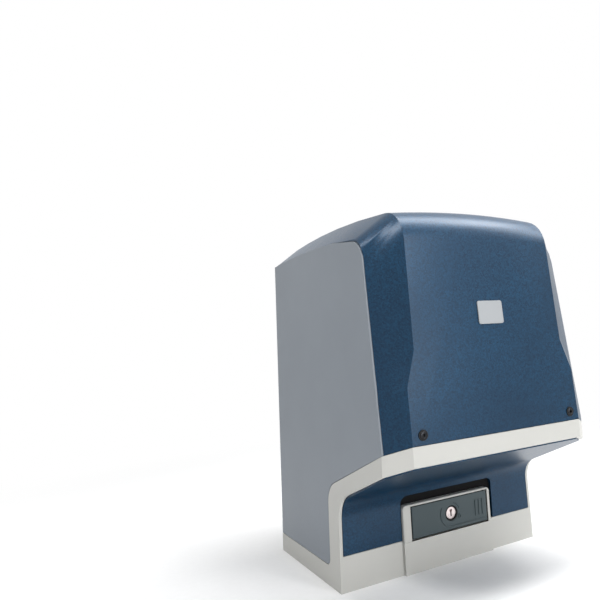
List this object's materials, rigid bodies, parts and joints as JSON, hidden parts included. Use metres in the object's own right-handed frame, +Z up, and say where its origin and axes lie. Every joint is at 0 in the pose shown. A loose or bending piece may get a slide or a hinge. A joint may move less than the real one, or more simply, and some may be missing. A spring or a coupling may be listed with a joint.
{
  "type": "sliding gate motor",
  "caption": "Upright gate drive box with an overhanging cover, a lockable release door low on its front and a toothed rack pinion at the rear.",
  "frame": {"origin": "centre of the four foundation slots, on the underside of the base plate", "axes": "+Z up; +X to the right seen from the front; +Y from the front face to the pinion at the rear"},
  "size_m": [0.226, 0.2884, 0.3355],
  "materials": {
    "cover_blue": "metallic satin lacquer on moulded plastic",
    "panel_grey": "satin moulded plastic",
    "frame_light_grey": "satin moulded plastic",
    "door_slate": "satin moulded plastic",
    "black_plastic": "satin",
    "green_board": "solder-masked laminate",
    "green_terminal": "moulded plastic",
    "cast_aluminium": "die cast, as cast",
    "steel": "turned or zinc plated",
    "black_steel": "black finish",
    "bright_lock": "plated",
    "bronze": "machined bronze",
    "copper_winding": "enamelled wire",
    "lamination_steel": "laminated sheet",
    "black_rubber": "moulded",
    "badge_grey": "blank satin plate"
  },
  "bodies": {
    "housing": {"base_frame": "frame_light_grey", "lower_fascia": "cover_blue", "release_surround": "frame_light_grey", "cover_shell": "cover_blue", "side_panel_left": "panel_grey", "side_panel_right": "panel_grey", "cover_badge": "badge_grey", "base_plate": "cast_aluminium", "levelling_screws": "steel", "cable_grommet": "black_rubber", "gear_case": "cast_aluminium", "gear_case_lid": "cast_aluminium", "gear_case_screws": "steel", "shaft_bearing_front": "steel", "shaft_bearing_rear": "steel", "shaft_oil_seal": "black_rubber", "worm_bearing_lower": "steel", "worm_bearing_upper": "steel", "motor_flange": "cast_aluminium", "motor_can": "black_steel", "motor_end_bell": "cast_aluminium", "motor_magnets": "lamination_steel", "brush_holders": "black_plastic", "door_hinge_pin": "steel", "slide_guide": "cast_aluminium", "yoke_guide": "cast_aluminium", "cover_screws": "black_steel", "cover_screw_rings": "black_plastic", "electronics_carrier": "black_plastic", "control_board": "green_board", "board_screws": "steel", "terminal_blocks": "green_terminal", "relays": "black_plastic", "board_capacitors": "black_plastic", "fuse_holder": "black_plastic", "display_module": "black_plastic", "processor_chip": "black_plastic", "transformer_shelf": "steel", "transformer_core": "lamination_steel", "transformer_coil": "copper_winding", "limit_sensor": "black_plastic"},
    "output": {"output_shaft": "steel", "worm_wheel": "bronze", "output_pinion": "steel", "pinion_key": "steel", "pinion_washer": "steel", "pinion_bolt": "black_steel"},
    "rotor": {"worm_shaft": "steel", "rotor_core": "lamination_steel", "commutator": "copper_winding"},
    "door": {"release_door": "door_slate", "lock_sleeve": "black_plastic"},
    "lock": {"lock_cylinder": "bright_lock", "lock_tongue": "steel", "lock_tongue_screw": "steel"},
    "slide": {"release_slide": "steel"},
    "yoke": {"release_yoke": "steel"}
  },
  "joints": [
    {"name": "rotor_spin", "type": "hinge", "parent": "housing", "child": "rotor", "pos_m": [0.05, 0.012, 0.1], "axis": [0, 0, 1], "continuous": true},
    {"name": "output_spin", "type": "hinge", "parent": "housing", "child": "output", "pos_m": [0, 0.012, 0.09], "axis": [0, 1, 0], "continuous": true},
    {"name": "release_door_swing", "type": "hinge", "parent": "housing", "child": "door", "pos_m": [-0.0333, -0.0707, 0.045], "axis": [0, 0, -1], "range_deg": [0, 90]},
    {"name": "key_turn", "type": "hinge", "parent": "door", "child": "lock", "pos_m": [0.0078, -0.07, 0.0461], "axis": [0, -1, 0], "range_deg": [0, 90]},
    {"name": "release_slide_push", "type": "slide", "parent": "housing", "child": "slide", "axis": [1, 0, 0], "range_m": [0, 0.012]},
    {"name": "release_yoke_push", "type": "slide", "parent": "housing", "child": "yoke", "axis": [0, 1, 0], "range_m": [0, 0.006]}
  ],
  "couplings": [
    {"joint": "output_spin", "follows": "rotor_spin", "ratio": 0.025},
    {"joint": "release_slide_push", "follows": "release_door_swing", "m_per_rad": 0.0076394},
    {"joint": "release_yoke_push", "follows": "release_door_swing", "m_per_rad": 0.0038197}
  ]
}
